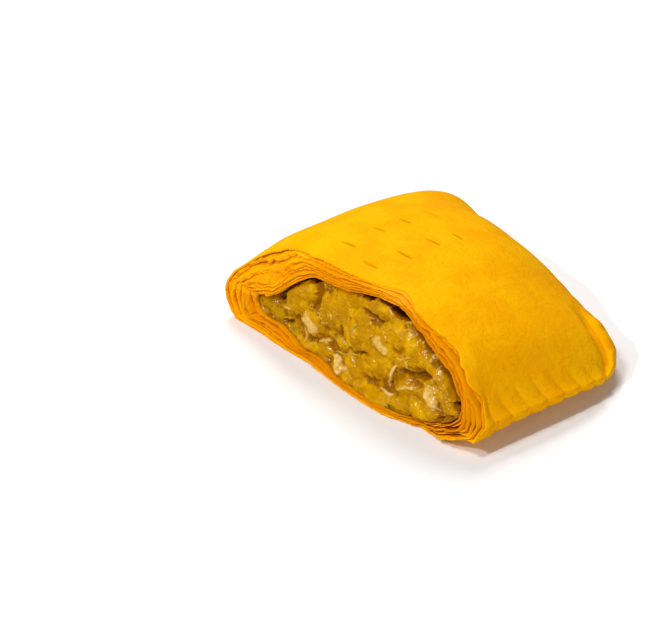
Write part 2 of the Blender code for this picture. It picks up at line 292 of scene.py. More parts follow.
def skinBottom(s, t):
    # A quarter circle 1 - (1 - u^2)^(1/2) turns up at the fold, then flat; it lifts again under the rims
    xi = (s + 1) / 2
    bend = unit(1 - xi / patty["foldRound"])
    fold = patty["foldMid"] - foldSink(t) + (patty["foldEndTop"] - patty["foldMid"]) * smooth(0.5, 1, t)
    turn = fold * (1 - np.sqrt(unit(1 - bend**2)))
    rim = np.maximum(smooth(0.84, 1, xi), smooth(0.84, 1, t))
    under = patty["crimpBottom"] - patty["farDrop"] * smooth(0.6, 0.95, t)
    under = under - patty["cutDrop"] * fade(0.02, 0.25, t) * smooth(0.88, 0.95, xi)
    return turn + (under + 0.4 * cornerLip(xi, t)) * rim * (1 - bend) ** 0.3


crimp = {"pitch": 4.8, "depth": 0.55, "phase": 0.1, "reach": (0.945, 0.99), "far": 0.5, "farPhase": 0.35}


def forkMark(along):
    # 1 - |sin|^0.7, sharp where a tine's side was
    return 1 - np.abs(np.sin(math.pi * along)) ** 0.7


def grooveDepth(x, y, s, t):
    # Fork marks along the crimped rim, fading up the side
    along = (y + 0.55 * (patty["width"] - x)) / crimp["pitch"] + crimp["phase"]
    rim = smooth(*crimp["reach"], (s + 1) / 2) * smooth(0, 0.1, t) * fade(0.9, 0.98, t)
    return crimp["depth"] * forkMark(along) * rim


def farDent(x, s, t):
    # The same fork marks on the far rim, along x
    xi = (s + 1) / 2
    rim = smooth(0.87, 0.96, t) * smooth(0.35, 0.6, xi) * fade(0.93, 0.97, xi)
    return crimp["far"] * forkMark(x / crimp["pitch"] + crimp["farPhase"]) * rim


slits = {
    "places": [
        (31.6, 8.6), (30.2, 17.9), (30.1, 25.2), (29.8, 32.9), (42.1, 5.6), (43.2, 13.9), (42.1, 22.6),
        (42.2, 29.1),
    ],
    "halfLength": 2.1,
    "halfWidth": 0.27,
    "depth": 0.8,
}


def slitMask(x, y):
    # exp(-(dy/w)^2) across each slit times (1 - (dx/l)^2)^(1/2) along it
    total = np.zeros(np.shape(x))
    for k, (cx, cy) in enumerate(slits["places"]):
        turn = 0.1 * math.sin(2.3 * k + 1)
        long = slits["halfLength"] * (1 + 0.18 * math.sin(5.1 * k))
        dx, dy = x - cx, y - cy - turn * (x - cx)
        reach = unit(1 - (dx / long) ** 2) ** 0.5
        total = np.maximum(total, np.exp(-((dy / slits["halfWidth"]) ** 2)) * reach)
    return total


swell = {"size": 13, "height": 0.35, "fine": 3.2, "fineHeight": 0.06, "inland": (0.5, 2, 1.2, 2, 1.2)}


def crustPoint(s, t, top):
    # Skin of the crust, with fork marks, slits and a gentle unevenness
    x, y = plan(s, t)
    z = np.where(top, skinTop(s, t), skinBottom(s, t))
    inward = grooveDepth(x, y, s, t)
    dent = farDent(x, s, t)
    xi = (s + 1) / 2
    inland = top * rise(xi, *swell["inland"]) * unit(1.2 * fall(xi, t))
    where = triple(x, y, z)
    wave = swell["height"] * (fbm(where / swell["size"], 3, 3) - 0.35)
    small = swell["fineHeight"] * fbm(where / swell["fine"], 9, 3)
    z = z + inland * (wave + small - slits["depth"] * slitMask(x, y))
    return triple(x - inward, y - dent, z - (0.3 * inward + 0.8 * dent) * top)


def pocketPoint(s, t, top, gap=0):
    # Wall of the hollow at the same t as the skin; past the hollow's far end it stays there
    xi = (s + 1) / 2
    left = pocket["fold"] + 1.3 * gap
    right = pocket["crimp"] - 1.3 * gap
    straight = between(left, right, xi)
    x, y = plan(-1 + 2 * straight / patty["width"], t)
    end = np.sqrt(unit(1 - unit(t / pocket["end"]) ** 3))
    middle = between(pocket["tip"], pocket["crimpZ"], xi)
    tall = fall(xi, np.clip(t, 0, pocket["end"]))
    lift = rise(xi, *pocket["rise"]) * end
    upper = middle + (pocket["top"] * tall - middle * 0.3 * (1 - tall) - middle) * lift
    lower = middle - (middle - pocket["bottom"]) * rise(xi, *pocket["sink"]) * end
    deep = smooth(0, 0.3, t)
    upper = between(np.interp(straight, pocket["highX"], pocket["high"]), upper, deep)
    lower = between(np.interp(straight, pocket["lowX"], pocket["low"]), lower, deep)
    blunt = (0.9 * smooth(0.85, 1, xi) + 0.7 * fade(0, 0.1, xi)) * smooth(0, 0.004, xi)
    return triple(x, y, np.where(top, np.maximum(upper, lower) + blunt - gap, lower - blunt + gap))


def cutLine(x, z):
    # The cut bows forward low down, by the table, and leans back high up and over the crimped side
    bow = np.interp(x, torn["bowX"], torn["bow"]) * (1 - smooth(0, 3.2, z) * smooth(10, 22, x))
    bow = bow * fade(4, 14, z) - 0.7 * fade(2, 14, x)
    return bow + 4.2 * smooth(46, 78, x) * smooth(3, 14, z) + 1.2 * smooth(14, 24, z)


def sectionLoop(half):
    # s and top round the section, evenly spaced along the upper and lower lines together
    def bothLines(u):
        s, t = 2 * u - 1, 0.05 * np.ones_like(u)
        high, low = pocketPoint(s, t, 1), pocketPoint(s, t, 0)
        lines = [plan(s, t)[0], skinTop(s, t), skinBottom(s, t), 0.7 * high[:, 2], 0.7 * low[:, 2]]
        return np.stack(lines, -1)

    s = 2 * evenSpread(bothLines, half + 1) - 1
    return np.concatenate([s, s[::-1][:-1]]), np.concatenate([np.ones(half + 1), np.zeros(half)])


def outward(p):
    # Outward normal's x and z round a section loop, from each point's neighbours, averaged over 15 points
    tangent = np.roll(p, -1, 0) - np.roll(p, 1, 0)
    size = np.maximum(np.hypot(tangent[:, 0], tangent[:, 2]), 1e-6)
    kernel = np.hanning(15)
    kernel /= kernel.sum()
    parts = (-tangent[:, 2] / size, tangent[:, 0] / size)
    return [np.convolve(np.pad(n, 7, mode="wrap"), kernel, mode="valid") for n in parts]


torn = {
    # how far the lowest crust stands forward of the cut, by x
    "bowX": [0, 8, 22, 30, 38, 49, 56, 61, 66, 71, 76, 80, 82],
    "bow": [0, -0.6, -1, -0.7, -1.6, -2.2, -2.3, -1, 0.4, -0.1, -1.9, -2.2, -1.8],
    # depth of the skin's torn edge behind the cut, by x along its upper side
    "skinX": [
        0, 3, 8, 20, 24, 29, 38, 44, 47, 51.5, 55.3, 57.5, 60.5, 63.4, 67, 69.4, 72, 73.6, 75.6, 77.4, 78.5,
        79.5, 82,
    ],
    "skin": [
        0, 0.6, 1.4, 1, 0.2, 0.9, 0.3, 0.4, 0.9, 2.2, 4, 2.6, 0.4, -0.6, -0.8, -0.1, 0.7, 0, -0.7, -1.4,
        0.4, 2.2, 3.4,
    ],
    # how much the upper crust sinks at the cut, by x
    "droopX": [0, 0.5, 1.5, 4, 6, 13, 16, 21, 27, 37, 45, 55, 82],
    "droop": [0, 0.9, 1.3, 1.75, 2.1, 2.2, 2, 1.5, 1.5, 0.9, 0.5, 0.2, 0],
    "droopReach": 5.5,
    # noise in a sheet's edge: per mm, step from sheet to sheet, seed, octaves
    "slow": (0.16, 7.3, 21, 2),
    "teeth": (0.24, 3.7, 31, 3),
    "fine": (1.3, 5.1, 41, 3),
    "ragged": (0.55, 2.9, 37, 3),
}


def tornDepth(p, top, share, sheet):
    # How far behind the cut a sheet lies, and how much further its edge is torn away
    x, z = p[..., 0], p[..., 2]
    outer = 1 - share

    def edgeNoise(name):
        scale, step, seed, octaves = torn[name]
        return cutNoise(x, z, scale, sheet * step, seed, octaves)

    foldTop = top * smooth(0.5, 5, x - pocket["fold"] * share) * fade(22, 29, x)
    crimpTop = top * smooth(50, 70, x) * smooth(0, 2.5, patty["width"] - 6 * share - x)
    lowCrimp = (1 - top) * smooth(54, 68, x)
    stagger = np.sin(sheet * 2.4 + 2 * cutNoise(x, z, 0.05, 1.7, 27, 2)) * (sheet > 0)
    base = top * np.interp(x, torn["skinX"], torn["skin"]) * outer**2
    base = base - share * (1.2 * foldTop + 0.9 * crimpTop) + 0.2 * lowCrimp * outer
    base = base + stagger * (0.42 - 0.22 * top + 0.45 * crimpTop)
    slow = edgeNoise("slow")
    teeth = 1 - np.abs(edgeNoise("teeth")) * 2.6
    rough = 0.22 + top * 0.06 * smooth(18, 30, x) + 0.7 * foldTop + 0.2 * crimpTop + 0.35 * lowCrimp
    tear = rough * (0.9 * np.clip(teeth + 0.4 * slow, -0.2, 1) + 0.4 * edgeNoise("fine"))
    tear = tear + 0.9 * foldTop * outer**3 * edgeNoise("ragged")
    return base + 0.4 * rough * slow, tear


def droop(x, depth, top, share):
    # Near the cut the upper crust sinks by droop(x) exp(-(depth / reach)^2), less so in its inner sheets
    begin = pocket["fold"] * share - 1.8 * unit(1 - 8 * share)
    amount = np.interp(x, torn["droopX"], torn["droop"]) * smooth(0, 1.8, x - begin)
    near = np.exp(-((np.maximum(depth, 0) / torn["droopReach"]) ** 2))
    return top * amount * (1 - share) ** 0.8 * near


def layerPoint(s, t, top, share):
    # 1 - share of the skin and share of the hollow's wall
    share = share[:, None]
    return crustPoint(s, t, top) * (1 - share) + pocketPoint(s, t, top) * share


def followCut(p, depth):
    # Moves points depth mm behind the cut with its curve; those of a negative depth stand before it
    p[..., 1] += np.minimum(depth, 0) + cutLine(p[..., 0], p[..., 2]) * fade(0, patty["cutReach"], depth)
    return p


def settle(p, depth, top, share):
    # The same with the droop, and nothing further forward than the front
    p = followCut(p, depth)
    p[..., 2] -= droop(p[..., 0], depth, top, share)
    p[..., 1] = np.maximum(p[..., 1], patty["front"])
    return p


def behindCut(s, depth, top, share):
    # A point of the layer at this share of the crust's thickness, depth mm behind the cut
    t = np.maximum(depth, 0) / lengthAt((s + 1) / 2)
    return settle(layerPoint(s, t, top, share), depth, top, share)


shell = {
    "half": 220,
    "rows": 112,
    "skin": 0.55,
    "skinDepths": (0, 0.4, 1.5, 3, 5),
    "coreDepth": 5,
    "coreRings": 8,
    "pocketRows": 14,
    # extra rows round each slit, in t
    "slitRows": (-0.016, 0.016, 9),
}


def makeShell():
    # One closed body: skin from the far end to its torn edge, back along its inner side to the core face,
    # then the wall of the hollow
    half = shell["half"]
    s, top = sectionLoop(half)
    count = len(s)

    def sideLine(u):
        return np.stack([plan(0.1 * np.ones_like(u), u)[1], skinTop(0.1 * np.ones_like(u), u)], -1)

    tValues = [evenSpread(sideLine, shell["rows"])]
    for cx, cy in slits["places"]:
        tValues.append(cy / lengthAt(cx / patty["width"]) + np.linspace(*shell["slitRows"]))
    tValues = np.unique(np.round(np.concatenate(tValues), 5))[::-1]
    edgeAt = crustPoint(s, np.zeros(count), top)
    edge = sum(tornDepth(edgeAt, top, 0, 0))
    length = lengthAt((s + 1) / 2)
    rows = []
    for t in tValues:
        tHere = t + edge / length * fade(0, 0.3, t)
        rows.append(settle(crustPoint(s, np.maximum(tHere, 0), top), tHere * length, top, 0))
    thick = np.maximum(np.linalg.norm(pocketPoint(s, np.zeros(count), top) - edgeAt, axis=1), 0.8)
    skinShare = shell["skin"] / thick
    for depth in shell["skinDepths"]:
        rows.append(behindCut(s, edge + depth, top, skinShare))
    for k in range(1, shell["coreRings"] + 1):
        inward = k / shell["coreRings"]
        depth = edge * (1 - inward) + shell["coreDepth"]
        rows.append(behindCut(s, depth, top, between(skinShare, 1, inward)))
    start = shell["coreDepth"] / patty["crimpLength"] + 0.02
    for t in np.linspace(start, pocket["end"] * 0.985, shell["pocketRows"]):
        rows.append(followCut(pocketPoint(s, np.full(count, t), top), t * length))
    grid = np.stack(rows)
    outerCap, outerTip = endStrip(half, 0)
    innerCap, innerTip = endStrip(half, (len(rows) - 1) * count)
    quads = np.concatenate([gridQuads(len(rows), count), outerCap, innerCap[:, ::-1]])
    tris = np.concatenate([outerTip, innerTip[:, ::-1]])
    tone, slit = np.ones(grid.shape[:2]), np.zeros(grid.shape[:2])
    skin = slice(len(tValues))
    tone[skin] = 0
    # the slit mask later darkens the slits: painted shade in them
    slit[skin] = slitMask(grid[skin, :, 0], grid[skin, :, 1]) * top
    return makeObject("crustShell", grid, quads, tris, {"tone": tone, "slit": slit})


sheets = {
    "half": 400,
    # how deep in the crust three torn edges run on the upper side, by share of the width; one more lies
    # outside them and three inside
    "at": [
        0, 0.04, 0.08, 0.12, 0.16, 0.2, 0.24, 0.28, 0.32, 0.38, 0.44, 0.5, 0.56, 0.62, 0.68, 0.74, 0.8,
        0.86, 0.91, 0.95, 0.98, 1,
    ],
    "first": [
        0.22, 0.2, 0.18, 0.2, 0.31, 0.42, 0.37, 0.28, 0.38, 0.42, 0.38, 0.36, 0.3, 0.34, 0.42, 0.5, 0.5,
        0.45, 0.4, 0.3, 0.25, 0.22,
    ],
    "second": [
        0.36, 0.4, 0.46, 0.58, 0.68, 0.62, 0.53, 0.5, 0.56, 0.58, 0.6, 0.58, 0.52, 0.52, 0.56, 0.7, 0.7,
        0.65, 0.6, 0.5, 0.44, 0.36,
    ],
    "third": [
        0.5, 0.55, 0.68, 0.78, 0.79, 0.73, 0.65, 0.65, 0.69, 0.72, 0.76, 0.74, 0.68, 0.66, 0.68, 0.82, 0.82,
        0.78, 0.74, 0.68, 0.6, 0.5,
    ],
    "under": [0.11, 0.22, 0.36, 0.5, 0.675, 0.825, 0.94],
    # between these the crust gapes low down at the sealed side: share of width from and to, shares there
    "gape": (0.8, 0.87, 0.96, 0.995),
    "gapeShares": [0.07, 0.14, 0.44, 0.52, 0.6, 0.9, 0.95],
    "gapeAfter": [1, 4],
    "gapeDepth": 4,
    # how far in a sheet has risen to full height: at least, and more for each mm it drops
    "slope": (0.6, 1.05),
    "edge": 0.3,
    "root": 7.5,
    "rows": 14,
    "wave": 0.25,
    "close": 0.8,
}


def gapeAt(xi, top):
    # 1 where the crust gapes, falling to 0 on both sides
    return (1 - top) * smooth(*sheets["gape"][:2], xi) * fade(*sheets["gape"][2:], xi)


def sheetShares(xi, top, p):
    # Share of the crust's thickness for the skin, the seven sheets and the filling, wandering a little
    x, z = p[..., 0], p[..., 2]
    e1, e2, e3 = (eased(sheets["at"], sheets[name], xi) for name in ("first", "second", "third"))
    upper = [0.5 * e1, e1, e2, e3] + [between(e3, 1, k) for k in (0.35, 0.65, 0.88)]
    gape = gapeAt(xi, 0)
    calm = 1 - 0.6 * top * fade(0.24, 0.34, xi)
    drift = 0.25 * cutNoise(x, z, 0.09, 3.3, 83, 2)
    shares = [np.zeros_like(xi)]
    for k, high in enumerate(upper):
        low = sheets["under"][k] * (1 - gape) + sheets["gapeShares"][k] * gape
        value = high * top + low * (1 - top)
        pinch = 0.22 * cutNoise(x, z, 0.16, k * 1.7, 87, 2)
        value = value + (drift + pinch) * value * (1 - value) * calm
        shares.append(np.clip(np.maximum(value, shares[-1] + 0.012), 0.01, 0.99))
    return shares + [np.ones_like(xi)]


def makeSheet(index):
    # A sheet of pastry, a ring round the filling. The sheets fan out towards the cut: the side that faces up
    # drops by gap * (1 - smooth(depth / slope)), and the sheet is torn to a thin edge at its own depth
    s, top = sectionLoop(sheets["half"])
    start = np.zeros(len(s))
    xi = (s + 1) / 2
    skin = crustPoint(s, start, top)
    shares = sheetShares(xi, top, skin)
    share = shares[index + 1]
    flat = layerPoint(s, start, top, share)
    x, z = flat[:, 0], flat[:, 2]
    base, tear = tornDepth(flat, top, share, index + 1)
    thick = np.maximum(np.linalg.norm(pocketPoint(s, start, top) - skin, axis=1), 0.5)
    toOuter = thick * (share - shares[index]) * 0.5
    toInner = thick * (shares[index + 2] - share) * 0.5
    nx, nz = outward(flat)
    up = smooth(-0.5, 0.7, nz)
    tip = smooth(0.55, 0.95, -nx)
    pitch = toOuter + toInner
    thin = np.minimum(sheets["edge"], 0.45 * pitch)
    gap = (pitch - thin) * (1 - 0.7 * tip) * (1 - 0.6 * tip * share)
    gap = gap * np.clip(0.85 + 0.5 * cutNoise(x, z, 0.22, index * 9.1, 57, 3), 0.3, 1)
    if index == 0:
        gap = gap * (1 - 0.6 * top * fade(20, 30, x))
    gape = gapeAt(xi, top)
    openLow = sheets["gapeDepth"] * gape
    close = sheets["close"] + (openLow if index - 1 in sheets["gapeAfter"] else 0)
    least, more = sheets["slope"]
    slope = least + more * gap + (openLow if index in sheets["gapeAfter"] else 0)
    lift = sheets["wave"] * cutNoise(x, z, 0.35, index * 5.3, 51, 3)
    lift = lift * (1 - 0.9 * tip) * np.minimum(gap, 1)
    spread = np.linspace(0, 1, sheets["rows"]) ** 1.8
    ring = [(u, 1) for u in spread[:0:-1]] + [(0, 0.8), (-0.012, 0), (0, -0.8)]
    ring += [(u, -1) for u in spread[1:]]
    # tone deepens the colour further behind the torn edge: painted shade in the crevices between sheets
    toneReach = 0.55 + top * (2.2 - 1.7 * smooth(52, 62, x))
    edge = base + tear
    rows, tone = [], []
    for u, way in ring:
        depth = between(edge, sheets["root"], u)
        behind = np.maximum(depth - edge, 0)
        fan = fade(0, 1, (depth - base) / slope)
        grown = smooth(0, 1, behind / close)
        outer = -toOuter + up * gap * fan - (1 - up) * 0.9 * fan * grown * toOuter
        inner = toInner - (1 - up) * gap * fan + up * 0.9 * fan * grown * toInner
        spare = np.maximum(inner - outer - thin - 1.6 * pitch * grown, 0)
        inner = inner - up * spare
        outer = outer + (1 - up) * spare
        shift = 0.5 * (inner + outer) + 0.49 * way * (inner - outer) + lift * np.exp(-behind / 1.6)
        rows.append(behindCut(s, depth, top, np.clip(share + shift / thick, 0.004, 1.02)))
        tone.append(unit((behind - 0.1) / toneReach))
    tone = np.stack(tone)
    # darker for the inner sheets, more on the lower side; painted shade on the upper side from x 24 and again
    # from x 54, and deep in the gaping crust
    innerDeepAndShade = smooth(0.1, 0.7, share) * (0.9 - 0.7 * top)
    innerDeepAndShade = innerDeepAndShade + top * (0.55 * smooth(24, 33, x) + 0.3 * smooth(54, 64, x)) + gape * tone
    quads = gridQuads(len(rows), len(s), closeRows=True)
    name = "crustSheet%d" % (index + 1)
    return makeObject(name, np.stack(rows), quads, None, {"tone": tone, "innerDeepAndShade": innerDeepAndShade})


crustShell = makeShell()
crustSheets = [makeSheet(k) for k in range(len(sheets["under"]))]
print("crust made:", len(crustShell.data.polygons), [len(o.data.polygons) for o in crustSheets])

filling = {
    "gap": 0.35,
    "half": 470,
    "columns": 146,
    "bodyRows": 10,
    "spill": 2.2,
    "sunk": 0.9,
    # how sharply lumps meet, and how much further than their half sizes they reach
    "blend": 3.4,
    "reach": (1.3, 1.4),
    # Lumps: place as it shows on the flat cut, half length, half width, turn in degrees, height
    "lumps": [
        (16.5, 7, 4.6, 1.7, -12, 1), (26, 14.2, 5.6, 2.5, 32, 1.6), (22, 9.2, 3, 1.2, 5, 0.9),
        (36, 16.2, 3.5, 1.8, 10, 1.2), (34.4, 12.5, 2.6, 2, 10, 1.2), (39.6, 14.2, 3.4, 3.2, 0, 1.1),
        (41, 19.2, 4.6, 1.5, 4, 1), (45.4, 13, 4.1, 3.3, 20, 1.9), (45, 17, 3.2, 0.9, 12, 1.2),
        (52, 21, 7, 1.4, 3, 1.1), (52.2, 14, 3.8, 2.8, -10, 1.3), (57, 17.2, 3, 2.5, 0, 1.3),
        (61.3, 16.5, 3, 2.1, -20, 1.5), (59.5, 12.4, 3.5, 1.7, 20, 1.1), (65.5, 15, 3, 1.5, 20, 1.3),
        (68.3, 16.8, 1.9, 0.6, 55, 1.4), (69.6, 13, 3.6, 1.7, -30, 1.5), (72.4, 8.5, 2.6, 2.5, 0, 1.2),
        (63.5, 3, 4.6, 1.7, 5, 1.3), (51.5, 8.2, 3.6, 2.6, 0, 1.1), (47.5, 6.4, 3.4, 2.1, 0, 1.1),
        (43.8, 4, 3, 2, -25, 1.7), (47, 0.6, 5.6, 1.6, -4, 1.3), (56.5, 1.7, 4.6, 1.3, 3, 1.1),
        (27.8, 2.6, 2.3, 1.5, -10, 1.5), (32.8, 3.8, 3, 1.5, 0, 1), (39, 1.5, 3.1, 1.8, -20, 1.2),
        (42.2, 10, 2, 1.6, 0, 0.9), (39.2, 8, 1.9, 1.1, 0, 1), (24, 5, 1.6, 1.4, 0, 0.7),
        (66.5, 8, 2.6, 3.2, -15, 1), (60, 6.4, 3.6, 1.5, 25, 0.9), (29, 9, 3.4, 2.4, -20, 0.8),
    ],
    # Hollows: creases inside and gaps along the crust, browned as painted shade and, where deep, darkened as
    # painted shadow; the last number is the depth
    "hollows": [
        (19, 11.4, 2.2, 1, 20, 1.5), (21.5, 5.9, 1.8, 0.7, 15, 1.1), (31.6, 16.6, 3.6, 1.4, 80, 1),
        (30.6, 19.9, 2.8, 1, 22, 2.8), (39.5, 11.2, 1.8, 0.5, 80, 0.8), (47.8, 22.9, 2.3, 1.1, 8, 3.4),
        (53.2, 23.6, 2.3, 1.1, 0, 3.2), (57.8, 22.5, 2.9, 0.95, -8, 3.4), (49.5, 18.5, 3.6, 0.7, 2, 0.9),
        (63.4, 20.6, 2.4, 1.1, -50, 1.6), (67, 18.3, 2.2, 1.1, -12, 3.4), (71.9, 16.2, 3.6, 1.6, -48, 1.9),
        (74.2, 12.2, 3.2, 1.4, -72, 1.9), (64.8, 11.4, 3.8, 0.8, 22, 1.5), (69.3, 11.2, 1.6, 0.7, -30, 1),
        (59.6, 9.6, 2.8, 0.7, 5, 0.9), (70.8, 7.2, 2, 0.6, -80, 0.7), (46.5, 8.8, 3, 0.5, 5, 0.6),
        (76.6, 9.1, 3.2, 1.1, 8, 3), (69.5, 3.2, 2, 0.6, 35, 0.9),
    ],
    # Chicken held in the sauce: how pale, how proud, outline on the flat cut
    "meat": [
        (1, 0.55, [(25.1, 8.2), (26.2, 9.3), (27.4, 11.3), (28.6, 11.2), (29.6, 10.2), (31.8, 8.6),
            (31.4, 7.2), (29.8, 6.4), (28.2, 6.9), (26.6, 7.9)]),
        (0.95, 0.5, [(36, 4.4), (37.2, 5), (38.6, 4.5), (39.4, 3.4), (41.2, 3.4), (42.2, 2.8), (40, 1.8),
            (38.6, 0.4), (37.6, 0.3), (36.8, 1.6), (36.2, 2.8)]),
        (0.8, 0.4, [(31.2, 5.6), (32.4, 6.6), (34.2, 7.3), (36.2, 7.8), (36, 7), (34, 5.9), (32.6, 5.2),
            (31.6, 5.1)]),
        (0.6, 0.35, [(25.4, 6.9), (26.8, 6.5), (28.2, 5.7), (27.6, 4.4), (26.8, 2.8), (26.4, 4.2),
            (26, 5.6)]),
        (0.6, 0.3, [(28.2, 4.4), (29.4, 4.8), (30, 4), (29.2, 3.4), (28.3, 3.7)]),
        (0.75, 0.3, [(49.6, 13.6), (50.8, 15.2), (52.4, 15.6), (53.8, 14.4), (55, 13.6), (55.2, 12.2),
            (53.6, 11.4), (51.4, 11.6), (49.9, 12.4)]),
        (0.9, 0.5, [(56.6, 5), (57.6, 5.8), (59.2, 7.2), (61.2, 8), (63, 7.8), (62.2, 6.9), (60.2, 6.2),
            (58.4, 5.2), (57.2, 4.7)]),
        (1, 0.6, [(65.4, 8.4), (66.2, 9.9), (67, 11), (68.2, 10.6), (68.8, 8.8), (69.6, 7), (69.4, 5.4),
            (68, 4.6), (66.8, 5.4), (65.8, 7)]),
        (0.5, 0.2, [(63.3, 8.2), (64.6, 9), (65.2, 8.2), (64.6, 7.6), (63.5, 7.7)]),
        (0.5, 0.2, [(32.6, 18.6), (34, 19.5), (35.6, 19.6), (36.3, 18.8), (35, 18.4), (33.4, 18.3)]),
        (0.5, 0.2, [(50, 17.4), (51.4, 18), (52.8, 17.8), (51.8, 17.1), (50.4, 17)]),
        (0.45, 0.2, [(43.2, 12), (43.9, 14), (45, 14.6), (45.2, 13.4), (44.4, 11.8)]),
        (0.5, 0.2, [(38.2, 7.4), (38.8, 8.2), (39.7, 8.3), (39.9, 7.6), (39, 7.2)]),
        (0.45, 0.2, [(60.8, 4.8), (61.4, 5.4), (62.2, 5.2), (61.8, 4.5)]),
    ],
    "leanX": 1.15,
    "leanZ": 0.81,
    "lie": 0.35,
}


def sauceLine(x, z):
    # The cut's curve with its skew
    return cutLine(x, z) + patty["cutSkew"] * x / patty["width"]


def onFlatCut(x, z):
    # Where a point of the curved cut shows on the flat cut, seen along the camera's line
    y = sauceLine(x, z) + filling["lie"]
    return x + filling["leanX"] * y, z + filling["leanZ"] * y


def onCurvedCut(u, w):
    # The other way round, met by halving the step each time
    x, z = np.asarray(u, float), np.asarray(w, float)
    for _ in range(12):
        y = frontY(x, z)
        x, z = 0.5 * (x + u - filling["leanX"] * y), 0.5 * (z + w - filling["leanZ"] * y)
    return x, z


def ellipseRadius(x, z, cx, cz, a, b, turn):
    # ((along / a)^2 + (across / b)^2)^(1/2) from a turned ellipse's centre, so 1 on its outline
    c, n = math.cos(math.radians(turn)), math.sin(math.radians(turn))
    dx, dz = x - cx, z - cz
    return np.sqrt(((dx * c + dz * n) / a) ** 2 + ((-dx * n + dz * c) / b) ** 2)


def outlineDistance(x, z, outline):
    # Distance to a closed outline, negative inside
    p = np.array(outline, float)
    best = np.full(np.shape(x), 1e9)
    inside = np.zeros(np.shape(x), bool)
    for (ax, az), (bx, bz) in zip(p, np.roll(p, -1, 0)):
        ex, ez = bx - ax, bz - az
        h = unit(((x - ax) * ex + (z - az) * ez) / (ex * ex + ez * ez))
        best = np.minimum(best, np.hypot(x - ax - ex * h, z - az - ez * h))
        if ez != 0:
            inside ^= ((az > z) != (bz > z)) & (x < ex * (z - az) / ez + ax)
    return np.where(inside, -best, best)


def hollowDepth(u, w):
    # The deepest of the hollows there, each depth * (1 - smooth(r))
    total = np.zeros(np.shape(u))
    for cx, cz, a, b, turn, depth in filling["hollows"]:
        total = np.maximum(total, depth * fade(0.35, 1.25, ellipseRadius(u, w, cx, cz, a, b, turn)))
    return total


def frontForm(x, z):
    # Height of the sauce: log of the summed exp(blend h (1 - r^2)^0.85) of the lumps, plus crumbs of noise,
    # less the hollows, plus the chicken's flat-topped pieces; also the share of chicken and how low it lies,
    # for painted shade in the low places and painted shadow in the deep hollows
    u, w = onFlatCut(x, z)
    where = triple(u, 0, w)
    u2 = u + 0.6 * fbm(where / 2.6, 61, 3)
    w2 = w + 0.6 * fbm(where / 2.6 + 40, 62, 3)
    blend, (reachA, reachB) = filling["blend"], filling["reach"]
    total = np.ones(np.shape(x))
    for cx, cz, a, b, turn, h in filling["lumps"]:
        r = ellipseRadius(u2, w2, cx, cz, a * reachA, b * reachB, turn)
        total += np.exp(blend * h * unit(1 - r**2) ** 0.85) - 1
    pits = hollowDepth(u2, w2)
    crumbs = 0.34 * fbm(where / 1.7, 63, 3, 0.45)
    crumbs += 0.34 * (0.35 - np.abs(fbm(where / 0.9, 64, 2))) + 0.08 * fbm(where / 0.42, 65, 2)
    height = np.log(total) / blend + crumbs - pits
    # low: painted shade where the sauce lies low, partly browner sauce there; above 1, painted shadow in the
    # deep hollows
    low = fade(-0.3, 1, height + 1.3 * crumbs) + smooth(1.1, 2.2, pits)
    share = np.zeros(np.shape(x))
    ragged = 0.42 * fbm(where / 1.1, 66, 3)
    for pale, proud, outline in filling["meat"]:
        d = outlineDistance(u, w, outline) + ragged
        height += proud * fade(-1.1, 0.2, d) ** 0.8
        share = np.maximum(share, pale * fade(-0.75, 0.3, d))
    return height, share, low


def frontY(x, z):
    # The cut's curve, sunk a little, less the height of the sauce
    return sauceLine(x, z) + filling["sunk"] - frontForm(x, z)[0]


